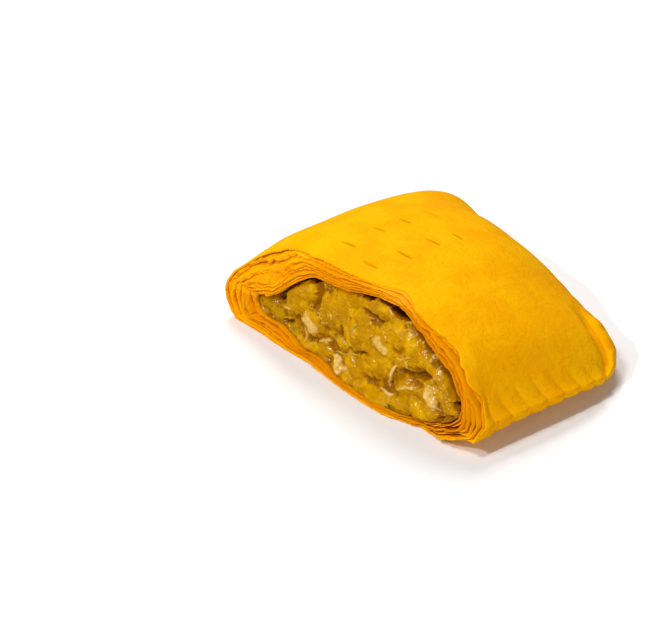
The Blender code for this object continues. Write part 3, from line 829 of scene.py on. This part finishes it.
def makeFilling():
    # The body follows the hollow of the crust; its front carries the lumps and spills over the lower crust
    half = filling["half"]
    s, top = sectionLoop(half)
    count = len(s)
    length = lengthAt((s + 1) / 2)
    rows = []
    for t in np.linspace(pocket["end"] * 0.975, 0, filling["bodyRows"]):
        rows.append(followCut(pocketPoint(s, np.full(count, t), top, filling["gap"]), t * length))
    rim = rows[-1]
    pits = hollowDepth(*onFlatCut(rim[:, 0], rim[:, 2]))
    rim[:, 1] += filling["sunk"] * (top + pits)
    upper = np.arange(1, half)
    lower = 2 * half + 1 - upper
    share = np.linspace(0, 1, filling["columns"] + 1)[1:-1, None]
    x, straightY, z = (between(rim[upper, k], rim[lower, k], share) for k in range(3))
    tall = np.abs(rim[upper, 2] - rim[lower, 2])
    hold = smooth(0, 0.9, np.minimum(share, 1 - share) * tall) * smooth(0.3, 2.5, tall)
    above = (1 - share) * tall
    over = smooth(0, 0.7, above) * fade(1, 4.5, above) * smooth(3, 6, tall)
    over = over * smooth(37, 45, x) * (1 - 0.4 * smooth(54, 60, x)) * fade(66, 71, x)
    over = over * np.clip(0.8 + 0.9 * fbm(triple(x * 0.2, 0, 0), 71, 2), 0.2, 1.3)
    z = np.maximum(z - filling["spill"] * over, np.minimum(z, 0.15))
    height, meatShare, low = frontForm(x, z)
    y = between(straightY, sauceLine(x, z) + filling["sunk"] - height, hold)
    y = np.maximum(y - 0.3 * over, patty["front"])
    steep = np.abs(np.gradient(y, axis=0)) / np.maximum(np.abs(np.gradient(z, axis=0)), 0.02)
    # painted shade on steep sauce just under the upper crust
    low = low + 0.9 * smooth(1.2, 3, steep) * fade(1.2, 3.5, share * tall)
    base = len(rows) * count
    first = base - count
    corner = first + half
    front = base + np.arange(x.size).reshape(x.shape)
    table = np.concatenate([(first + upper)[None], front, (first + lower)[None]])
    a, b, c, d = table[:-1, :-1], table[:-1, 1:], table[1:, 1:], table[1:, :-1]
    cap, capTip = endStrip(half, 0)
    body = gridQuads(len(rows), count)
    quads = np.concatenate([body, np.stack([a, b, c, d], -1).reshape(-1, 4), cap[:, ::-1]])
    tris = [
        np.stack([np.full(len(a), first), table[:-1, 0], table[1:, 0]], -1),
        np.stack([np.full(len(a), corner), table[1:, -1], table[:-1, -1]], -1),
        np.array([[corner, corner + 1, table[-1, -1]]]),
        capTip[:, ::-1],
    ]
    bodyLow = np.ones((len(rows), count))
    # the body is browned; its rim is darkened as painted shadow at the deep hollows, less on its lower side
    bodyLow[-1] += smooth(1.1, 2.2, pits) - 0.7 * (1 - top)
    # painted shade towards the crust's edge, where the front is held back
    low = np.maximum(low, np.minimum(1 - hold, low + 0.4))
    layers = {
        "meat": np.concatenate([np.zeros(base), (meatShare * hold).ravel()]),
        "low": np.concatenate([bodyLow.ravel(), low.ravel()]),
    }
    points = np.concatenate(rows + [triple(x, y, z).reshape(-1, 3)])
    return makeObject("fillingSauce", points, quads, np.concatenate(tris), layers)


fillingSauce = makeFilling()
print("filling made:", len(fillingSauce.data.polygons))


def sweepGrid(path, width, thick, sides, power, seed, rough):
    # A ring w|cos|^p, h|sin|^p carried along a path, its first and last rings closed to a point
    n = len(path)
    tangent = np.gradient(path, axis=0)
    tangent /= np.linalg.norm(tangent, axis=1)[:, None]
    sideways = np.cross(tangent, np.array([0, -1, 0]))
    sideways /= np.linalg.norm(sideways, axis=1)[:, None]
    up = np.cross(sideways, tangent)
    angle = np.linspace(0, 2 * math.pi, sides, endpoint=False)
    c, d = (np.sign(f(angle)) * np.abs(f(angle)) ** power for f in (np.cos, np.sin))
    ring = sideways[:, None] * c[None, :, None] * width[:, None, None]
    ring = ring + up[:, None] * d[None, :, None] * thick[:, None, None]
    rough = rough * fbm(path[:, None] * 0.9 + ring * 1.7 + seed * 11.3, seed, 3)
    size = np.minimum(width, thick)[:, None]
    grid = path[:, None] + ring * (1 + rough / np.maximum(size, 0.3))[..., None]
    points = np.concatenate([grid.reshape(-1, 3), path[:1], path[-1:]])
    across = np.concatenate([np.tile(angle / (2 * math.pi), n), [0.5, 0.5]])
    return points, *closedTube(n, sides), across


shreds = {
    # points on the flat cut, half width, half thickness, how far the middle stands out
    "chicken": [
        ([(56.9, 10.6), (56, 9.4), (55.2, 7.8), (54.8, 6), (54.6, 4.2)], 0.42, 0.3, 0.16),
        ([(51.4, 3.2), (52.4, 3.1), (53.6, 2.7), (54.8, 2.8), (55.8, 3)], 0.44, 0.28, 0.1),
        ([(20, 9.1), (21.2, 9.2), (22.8, 9.4)], 0.22, 0.2, 0.02),
        ([(66.9, 15.3), (67.8, 16.4), (68.8, 17.8)], 0.4, 0.28, 0.05),
    ],
    "onion": [
        ([(55.8, 11), (57, 12), (58.6, 12.5), (60.2, 13.6), (61.2, 14)], 0.3, 0.26, 0.03),
        ([(59, 12.7), (59.8, 11.8), (60.2, 10.8)], 0.42, 0.24, 0.02),
        ([(37.2, 8), (38.2, 9), (39.6, 9.3), (40.9, 8.7), (41.3, 7.8)], 0.22, 0.24, 0.06),
        ([(36.4, 4.9), (38, 5.8), (40.2, 6), (42, 7), (43.4, 7.4), (44.8, 7.6)], 0.2, 0.22, 0.05),
        ([(30.9, 12.2), (32, 12.3), (32.6, 11.3), (33.6, 10.7), (35, 11.4)], 0.22, 0.22, 0.03),
        ([(31.8, 12.6), (32.6, 13.6), (33.9, 13.9)], 0.2, 0.2, 0.03),
        ([(35.9, 12.2), (36, 13), (35.6, 14)], 0.24, 0.22, 0.03),
        ([(36.9, 13.4), (37.6, 14.3), (38.5, 14.5)], 0.2, 0.2, 0.03),
        ([(42.6, 12.4), (43.2, 13.6), (44.4, 14.8)], 0.26, 0.2, 0.01),
        ([(48, 12.4), (48.6, 13.6), (49.8, 14.6)], 0.2, 0.2, 0.03),
    ],
    "rough": 0.12,
    "points": 45,
}


def spline(keys, count):
    # Catmull-Rom curve through the keys
    p = np.array(keys, float)
    p = np.concatenate([2 * p[:1] - p[1:2], p, 2 * p[-1:] - p[-2:-1]])
    u = np.linspace(0, len(keys) - 1, count)
    k = np.minimum(u.astype(int), len(keys) - 2)
    f = (u - k)[:, None]
    a, b, c, d = p[k], p[k + 1], p[k + 2], p[k + 3]
    return 0.5 * (2 * b + (c - a) * f + (2 * a - 5 * b + 4 * c - d) * f**2 + (3 * b - a - 3 * c + d) * f**3)


def makeShreds(name, rows, seed, sides, power):
    # Rounded strips laid on the sauce, thinner at both ends: (1 - |2u - 1|^4)^0.6
    points, quads, tris, across = [], [], [], []
    for k, (keys, width, thick, proud) in enumerate(rows):
        line = spline(keys, shreds["points"])
        u = np.linspace(0, 1, shreds["points"])
        x, z = onCurvedCut(line[:, 0], line[:, 1])
        y = np.convolve(np.pad(frontY(x, z), 5, mode="edge"), np.ones(11) / 11, mode="valid")
        y = y - proud * np.sin(math.pi * np.clip(u, 0.04, 0.96)) ** 0.5
        y = y + 0.5 * (1 - np.sin(math.pi * u)) ** 4
        taper = unit(1 - np.abs(2 * u - 1) ** 4) ** 0.6 * 0.96 + 0.04
        wide = width * taper * (1 + 0.22 * fbm(triple(u * 5, k * 3.1, seed), seed, 2))
        path = triple(x, y, z)
        p, q, t, a = sweepGrid(path, wide, thick * taper, sides, power, seed + k, shreds["rough"])
        points.append(p)
        quads.append(q + k * len(p))
        tris.append(t + k * len(p))
        across.append(a)
    points, quads, tris, across = (np.concatenate(part) for part in (points, quads, tris, across))
    return makeObject(name, points, quads, tris, {"across": across})


specks = {
    "rings": 4,
    "sides": 7,
    # places, how many more at random, sizes from and to, seed
    "spices": (
        [
            (43.9, 1.6), (41.2, -0.2), (23.6, 7), (49, 9.6), (46.8, -0.4), (38.3, 10.6), (71.4, 10.2),
            (28.4, 14.6),
        ],
        36, (0.08, 0.2), 11,
    ),
    "flecks": ([(64.3, 16.7), (52.8, 16.9), (29.9, 12.9), (45.2, 9.6)], 1, (0.2, 0.34), 15),
}


def makeSpecks(name, places, count, sizes, seed):
    # Low lumps on the sauce, at given places and scattered: each a ball of a few rings
    rng = np.random.default_rng(seed)
    u, w = rng.uniform(14, 73, count * 3), rng.uniform(0.5, 20, count * 3)
    keep = (w < 19.5 - 0.01 * (u - 50) ** 2) & (w > 6 - 0.16 * (u - 14)) & (w > 0.5 + 0.5 * (u - 66))
    placed = np.array(places, float)
    u = np.concatenate([placed[:, 0], u[keep][:count]])
    w = np.concatenate([placed[:, 1], w[keep][:count]])
    x, z = onCurvedCut(u, w)
    count = len(x)
    size = rng.uniform(*sizes, count)
    stretch = rng.uniform(0.7, 1.6, count)
    turn = rng.uniform(0, math.pi, count)
    rings, sides = specks["rings"], specks["sides"]
    lat = np.linspace(0, math.pi, rings + 2)[1:-1]
    lon = np.linspace(0, 2 * math.pi, sides, endpoint=False)
    la, lo = np.meshgrid(lat, lon, indexing="ij")
    ball = np.stack([np.sin(la) * np.cos(lo), np.cos(la), np.sin(la) * np.sin(lo)], -1).reshape(-1, 3)
    ball = np.concatenate([ball, [[0, 1, 0], [0, -1, 0]]])
    shape = ball[None] * np.stack([size * stretch, 0.6 * size, size / stretch], -1)[:, None]
    c, s = np.cos(turn)[:, None], np.sin(turn)[:, None]
    turned = [shape[..., 0] * c - shape[..., 2] * s, shape[..., 1], shape[..., 0] * s + shape[..., 2] * c]
    points = triple(x, frontY(x, z), z)[:, None] + np.stack(turned, -1)
    quads, tris = closedTube(rings, sides)
    base = (np.arange(count) * len(ball))[:, None, None]
    return makeObject(name, points, quads[None] + base, tris[None] + base)


chickenShreds = makeShreds("chickenShreds", shreds["chicken"], seed=23, sides=16, power=0.85)
onionCurls = makeShreds("onionCurls", shreds["onion"], seed=43, sides=12, power=1)
pepperSpecks = makeSpecks("pepperSpecks", *specks["spices"])
pepperFlecks = makeSpecks("pepperFlecks", *specks["flecks"])
print("chicken, curls and specks made")


class Wire:
    # A socket that takes part in sums and products; each adds its Math node
    def __init__(self, finish, socket):
        self.finish, self.socket = finish, socket

    def math(self, operation, a, b):
        return self.finish.node("ShaderNodeMath", {"operation": operation}, {0: a, 1: b})

    def __add__(self, other):
        return self.math("ADD", self, other)

    def __sub__(self, other):
        return self.math("SUBTRACT", self, other)

    def __rsub__(self, other):
        return self.math("SUBTRACT", other, self)

    def __mul__(self, other):
        return self.math("MULTIPLY", self, other)

    __radd__, __rmul__ = __add__, __mul__


def rgb(r, g, b):
    return (r, g, b, 1)


class Finish:
    # A material being wired up; its look holds the colours that mix names
    def __init__(self, name, look):
        self.look = {"gloss": 0.5, "tint": rgb(1, 1, 1), "coat": 0, "coatRoughness": 0.03, **look}
        self.material = bpy.data.materials.new(name)
        self.material.use_nodes = True
        self.tree = self.material.node_tree
        self.tree.nodes.clear()

    def node(self, kind, settings=None, sockets=None, output=0):
        made = self.tree.nodes.new(kind)
        for key, value in (settings or {}).items():
            setattr(made, key, value)
        for key, value in (sockets or {}).items():
            if isinstance(value, Wire):
                self.tree.links.new(value.socket, made.inputs[key])
            else:
                made.inputs[key].default_value = value
        return Wire(self, made.outputs[output]) if len(made.outputs) else None

    def place(self, scale=(1, 1, 1), turn=(0, 0, 0)):
        where = self.node("ShaderNodeTexCoord", output="Object")
        return self.node("ShaderNodeMapping", {}, {"Vector": where, "Rotation": turn, "Scale": scale})

    def noise(self, size, detail=3, rough=0.55, where=None, warp=0):
        # size is in millimetres
        sockets = {"Vector": where or self.place(), "Scale": 1000 / size}
        sockets.update({"Detail": detail, "Roughness": rough, "Distortion": warp})
        return self.node("ShaderNodeTexNoise", {}, sockets, "Fac")

    def ramp(self, value, low, high, start=0, end=1):
        sockets = {"Value": value, "From Min": low, "From Max": high, "To Min": start, "To Max": end}
        return self.node("ShaderNodeMapRange", {"interpolation_type": "SMOOTHSTEP"}, sockets)

    def mix(self, share, a, b):
        a, b = (self.look.get(colour, colour) for colour in (a, b))
        return self.node("ShaderNodeMix", {"data_type": "RGBA"}, {0: share, 6: a, 7: b}, 2)

    def attribute(self, name):
        return self.node("ShaderNodeAttribute", {"attribute_name": name}, {}, "Fac")

    def bump(self, height, distance, under=None):
        # distance is in millimetres
        sockets = {"Height": height, "Distance": distance * 0.001, "Strength": 1}
        if under is not None:
            sockets["Normal"] = under
        return self.node("ShaderNodeBump", {}, sockets)

    def done(self, colour, roughness, normal=None):
        sockets = {"Base Color": colour, "Roughness": roughness}
        for socket, name in (
            ("Specular IOR Level", "gloss"),
            ("Specular Tint", "tint"),
            ("Coat Weight", "coat"),
            ("Coat Roughness", "coatRoughness"),
        ):
            sockets[socket] = self.look[name]
        if normal is not None:
            sockets["Normal"] = normal
        shader = self.node("ShaderNodeBsdfPrincipled", {}, sockets)
        self.node("ShaderNodeOutputMaterial", {}, {"Surface": shader})
        return self.material


crustFinish = {
    "warm": rgb(0.92, 0.395, 0.0012),
    "bright": rgb(0.95, 0.46, 0.0015),
    "floury": rgb(0.95, 0.6, 0.022),
    "toasted": rgb(0.78, 0.27, 0.002),
    # slit colour: the freckles' own dark, and painted shade in the slits
    "slit": rgb(0.28, 0.085, 0.001),
    "inside": rgb(0.89, 0.345, 0.002),
    "insidePale": rgb(0.94, 0.44, 0.006),
    "roughness": 0.52,
    "gloss": 0.004,
    "tint": rgb(1, 0.7, 0),
}


def crustMaterial():
    # Mottled gold with floury dust and freckles, darker in the slits as painted shade, orange on its inner
    # side
    m = Finish("goldenCrust", crustFinish)
    tone = m.attribute("tone")
    mottle = m.ramp(m.noise(11, 3), 0.38, 0.62)
    colour = m.mix(mottle, "warm", "bright")
    grain = m.noise(0.7, 2, 0.6)
    colour = m.mix(m.ramp(grain, 0.35, 0.75) * 0.25, colour, "toasted")
    patches = m.ramp(m.noise(7, 2), 0.5, 0.68)
    dust = m.ramp(m.noise(0.42, 2, 0.7), 0.6, 0.72)
    colour = m.mix(dust * (0.12 + patches * 0.55), colour, "floury")
    freckle = m.ramp(m.noise(0.8, 1, 0.5), 0.72, 0.78)
    colour = m.mix(freckle * 0.3, colour, "slit")
    # painted shade: the slits darkened by their mask
    colour = m.mix(m.attribute("slit") * 0.9, colour, "slit")
    leaf = m.ramp(m.noise(2.6, 3), 0.35, 0.7)
    inside = m.mix(leaf, "inside", "insidePale")
    colour = m.mix(tone, colour, inside)
    rough = m.look["roughness"] + (grain - 0.5) * 0.12
    pits = m.ramp(m.noise(1.3, 2, 0.5), 0.25, 0.42)
    normal = m.bump(m.noise(3.4, 4, 0.55, warp=0.4), 0.34)
    normal = m.bump(pits, 0.05, normal)
    normal = m.bump(grain, 0.06, normal)
    return m.done(colour, rough, normal)


leafFinish = {
    # deep: painted shade further behind each torn edge
    "deep": rgb(0.74, 0.245, 0.001),
    "middle": rgb(0.93, 0.39, 0.001),
    "pale": rgb(0.97, 0.48, 0.002),
    # darker inner sheets, and painted shade on parts of the upper side
    "innerDeepAndShade": rgb(0.76, 0.27, 0.001),
    # gape: painted shade deep in the gaping crust
    "gape": rgb(0.52, 0.1, 0.001),
    "roughness": 0.5,
    "gloss": 0.05,
    "tint": rgb(1, 0.7, 0),
}


def leafMaterial():
    # The torn sheets: paler along their edges, deeper further in as painted shade in the crevices between
    # them; darker for the inner sheets, and painted shade on parts of the upper side and deep in the gaping
    # crust
    m = Finish("tornLayers", leafFinish)
    tone = m.attribute("tone")
    colour = m.mix(m.ramp(m.noise(3.1, 3), 0.35, 0.7), "middle", "pale")
    innerDeepAndShade = m.attribute("innerDeepAndShade")
    # darker inner sheets, and painted shade on parts of the upper side
    colour = m.mix(m.ramp(innerDeepAndShade, 0, 1) * 0.85, colour, "innerDeepAndShade")
    # painted shade: deeper further behind each torn edge
    colour = m.mix(m.ramp(tone, 0, 1) * 0.8, colour, "deep")
    # painted shade deep in the gaping crust
    colour = m.mix(m.ramp(innerDeepAndShade, 1, 1.6) * 0.8, colour, "gape")
    grain = m.noise(0.6, 2, 0.6)
    colour = m.mix(m.ramp(grain, 0.5, 0.8) * 0.25, colour, "deep")
    rough = m.look["roughness"] + (grain - 0.5) * 0.1
    return m.done(colour, rough, m.bump(m.noise(1.5, 4, 0.6), 0.25))


sauceFinish = {
    "deep": rgb(0.46, 0.2, 0.0004),
    "middle": rgb(0.58, 0.275, 0.0006),
    # light: painted light on the tops of the lumps
    "light": rgb(0.76, 0.405, 0.001),
    "olive": rgb(0.42, 0.215, 0.0004),
    # brown: painted shade in the low places, partly browner sauce
    "brown": rgb(0.24, 0.077, 0.0006),
    # gap: painted shadow in the deep gaps under the crust
    "gap": rgb(0.055, 0.011, 0.0004),
    "meat": rgb(0.8, 0.52, 0.15),
    "meatWarm": rgb(0.68, 0.37, 0.04),
    "gloss": 0.05,
    "tint": rgb(1, 0.8, 0.05),
    "coat": 0.45,
    "coatRoughness": 0.11,
}


def sauceMaterial():
    # Olive yellow on the lumps with painted light on their tops, brown where it lies low, partly browner
    # sauce and partly painted shade, near black as painted shadow in the deep gaps, pale where chicken shows
    # through
    m = Finish("curriedSauce", sauceFinish)
    low = m.attribute("low")
    meat = m.attribute("meat")
    broad = m.ramp(m.noise(5, 3), 0.35, 0.65)
    colour = m.mix(broad, "deep", "middle")
    # painted light: lighter patches only on the high lumps
    lit = m.ramp(m.noise(2.6, 3, 0.5), 0.46, 0.68) * (1 - low) * 0.75
    colour = m.mix(lit, colour, "light")
    across = m.node("ShaderNodeSeparateXYZ", {}, {"Vector": m.place()}, "X")
    towardsFold = m.ramp(across + (broad - 0.5) * 0.004, -0.022, -0.013, 0.75, 0)
    colour = m.mix(towardsFold, colour, "olive")
    # painted shade: brown where the sauce lies low, partly browner sauce there
    colour = m.mix(m.ramp(low + (broad - 0.5) * 0.4, 0.35, 1.05) * 0.85, colour, "brown")
    # painted shadow: near black in the deep gaps under the crust
    colour = m.mix(m.ramp(low, 1.1, 1.8), colour, "gap")
    fibre = m.noise(1, 3, 0.6, m.place((1, 1, 0.35), (0, 0.6, 0)))
    flesh = m.mix(m.ramp(fibre, 0.4, 0.65), "meat", "meatWarm")
    shown = meat + (fibre - 0.5) * m.ramp(meat, 0, 0.4)
    colour = m.mix(m.ramp(shown, 0.2, 0.8), colour, flesh)
    fine = m.noise(0.7, 4, 0.62)
    normal = m.bump(m.noise(1.4, 3, 0.5, warp=0.4), 0.22)
    normal = m.bump(fine, 0.09, normal)
    normal = m.bump(fibre * meat, 0.3, normal)
    rough = m.ramp(m.noise(1.6, 2), 0.4, 0.6, 0.14, 0.32)
    return m.done(colour, rough, normal)


meatFinish = {"pale": rgb(0.83, 0.55, 0.19), "tinted": rgb(0.72, 0.42, 0.06), "roughness": 0.3}
onionFinish = {"pale": rgb(0.74, 0.46, 0.06), "tinted": rgb(0.62, 0.34, 0.01), "roughness": 0.16}


def shredMaterial(name, look):
    # Fibres run along the piece, from its across attribute; sauce tints it unevenly
    m = Finish(name, {"gloss": 0.55, "tint": rgb(1, 0.9, 0.6), **look})
    across = m.attribute("across")
    stretch = m.node("ShaderNodeCombineXYZ", {}, {"X": across * 9, "Y": m.noise(4, 1) * 1.2, "Z": 0})
    fibre = m.node("ShaderNodeTexNoise", {}, {"Vector": stretch, "Scale": 2.2, "Detail": 3}, "Fac")
    colour = m.mix(m.ramp(m.noise(1.9, 3, 0.6), 0.4, 0.66), "pale", "tinted")
    colour = m.mix(m.ramp(fibre, 0.5, 0.75) * 0.4, colour, "tinted")
    normal = m.bump(m.noise(0.8, 3), 0.12, m.bump(fibre, 0.22))
    return m.done(colour, m.look["roughness"], normal)


def speckMaterial(name, dark, light):
    # Two shades of one colour in patches
    m = Finish(name, {"dark": dark, "light": light})
    colour = m.mix(m.ramp(m.noise(1.2, 2), 0.4, 0.6), "dark", "light")
    return m.done(colour, 0.35, m.bump(m.noise(0.3, 2), 0.05))


crust = crustMaterial()
leaf = leafMaterial()
sauce = sauceMaterial()
meat = shredMaterial("chickenMeat", meatFinish)
onion = shredMaterial("softOnion", onionFinish)
pepper = speckMaterial("groundPepper", rgb(0.13, 0.045, 0.003), rgb(0.26, 0.1, 0.005))
fleck = speckMaterial("redPepper", rgb(0.6, 0.1, 0.003), rgb(0.75, 0.2, 0.004))


def dress(obj, material, node):
    # Gives the piece its material, hangs it from the root and hides the imported part it stands in for
    obj.data.materials.append(material)
    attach(obj, "root")
    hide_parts(node)


dress(crustShell, crust, "crust")
for sheet in crustSheets:
    dress(sheet, leaf, "crust")
dress(fillingSauce, sauce, "filling")
dress(chickenShreds, meat, "filling")
dress(onionCurls, onion, "filling")
dress(pepperSpecks, pepper, "filling")
dress(pepperFlecks, fleck, "filling")
print("finishes on")

studio = {
    "azimuth": 49,
    "elevation": 28,
    "distance": 650,
    # the photo's frame in pixels, and where the target shows in it
    "frame": (650, 621),
    "at": (453.5, 298.5),
    "target": (42, 28, 10),
    "lens": 171,
    "sensor": 36,
    "floorHeight": -0.05,
    "floorSize": 6,
    "floorColour": rgb(0.9, 0.9, 0.9),
    "world": 0.2,
    "lampTarget": (42, 24, 10),
    "lampDistance": 0.9,
    # how far to the side, to the front and up, size in metres, power
    "lamps": {
        "key": (-0.5, 0.42, 1.15, 0.24, 3.2),
        "fill": (0.6, 0.9, 0.5, 0.24, 1.15),
        "spark": (-0.5, 0.5, 0.62, 0.035, 2.4),
        "glint": (-1, 0.1, 0.4, 0.03, 0.9),
        "back": (-0.1, -0.9, 1, 0.4, 4.75),
    },
}


def toWorld(p):
    return Vector(((p[0] - patty["centre"][0]) * 0.001, (p[1] - patty["centre"][1]) * 0.001, p[2] * 0.001))


azimuth = math.radians(studio["azimuth"])
elevation = math.radians(studio["elevation"])
vertical = Vector((0, 0, 1))
right = Vector((math.cos(azimuth), math.sin(azimuth), 0))
front = Vector((math.sin(azimuth), -math.cos(azimuth), 0))
back = front * math.cos(elevation) + vertical * math.sin(elevation)


def makeCamera():
    # Turned so that the target lands on its pixel of the photo's frame
    data = bpy.data.cameras.new("camera")
    data.lens = studio["lens"]
    data.sensor_width = studio["sensor"]
    data.sensor_fit = "HORIZONTAL"
    data.clip_start = 0.01
    wide, high = studio["frame"]
    focal = studio["lens"] / studio["sensor"] * wide
    seen = Vector((studio["at"][0] - wide / 2, high / 2 - studio["at"][1], -focal)).normalized()
    turn = seen.rotation_difference(Vector((0, 0, -1))).to_matrix()
    axes = Matrix((right, back.cross(right), back)).transposed()
    place = toWorld(studio["target"]) + back * studio["distance"] * 0.001
    scene.camera = addObject("camera", data)
    scene.camera.matrix_world = Matrix.Translation(place) @ (axes @ turn).to_4x4()


def makeLamp(name, sideways, forward, up, size, power):
    data = bpy.data.lights.new(name, "AREA")
    data.shape = "DISK"
    data.size = size
    data.energy = power
    way = (right * sideways + front * forward + vertical * up).normalized()
    place = toWorld(studio["lampTarget"]) + way * studio["lampDistance"]
    lamp = addObject(name, data)
    lamp.matrix_world = Matrix.Translation(place) @ way.to_track_quat("Z", "Y").to_matrix().to_4x4()


def makeFloor():
    u = np.linspace(-0.5, 0.5, 3) * studio["floorSize"] * 1000
    x, y = np.meshgrid(u, u, indexing="ij")
    made = makeObject("floor", triple(x, y, studio["floorHeight"]), gridQuads(3, 3, closeColumns=False))
    made.data.materials.append(Finish("paleFloor", {}).done(studio["floorColour"], 0.7))
    return made


makeCamera()
for lampName, values in studio["lamps"].items():
    makeLamp(lampName, *values)
floor = makeFloor()
# Floor and world light the food but don't mirror in the wet sauce, which would turn it milky
floor.visible_glossy = False
world = bpy.data.worlds.new("studio")
world.use_nodes = True
background = world.node_tree.nodes["Background"]
background.inputs["Color"].default_value = rgb(1, 1, 1)
background.inputs["Strength"].default_value = studio["world"]
world.cycles_visibility.glossy = False
scene.world = world
scene.view_settings.view_transform = "Standard"
scene.view_settings.look = "None"
print("studio set")
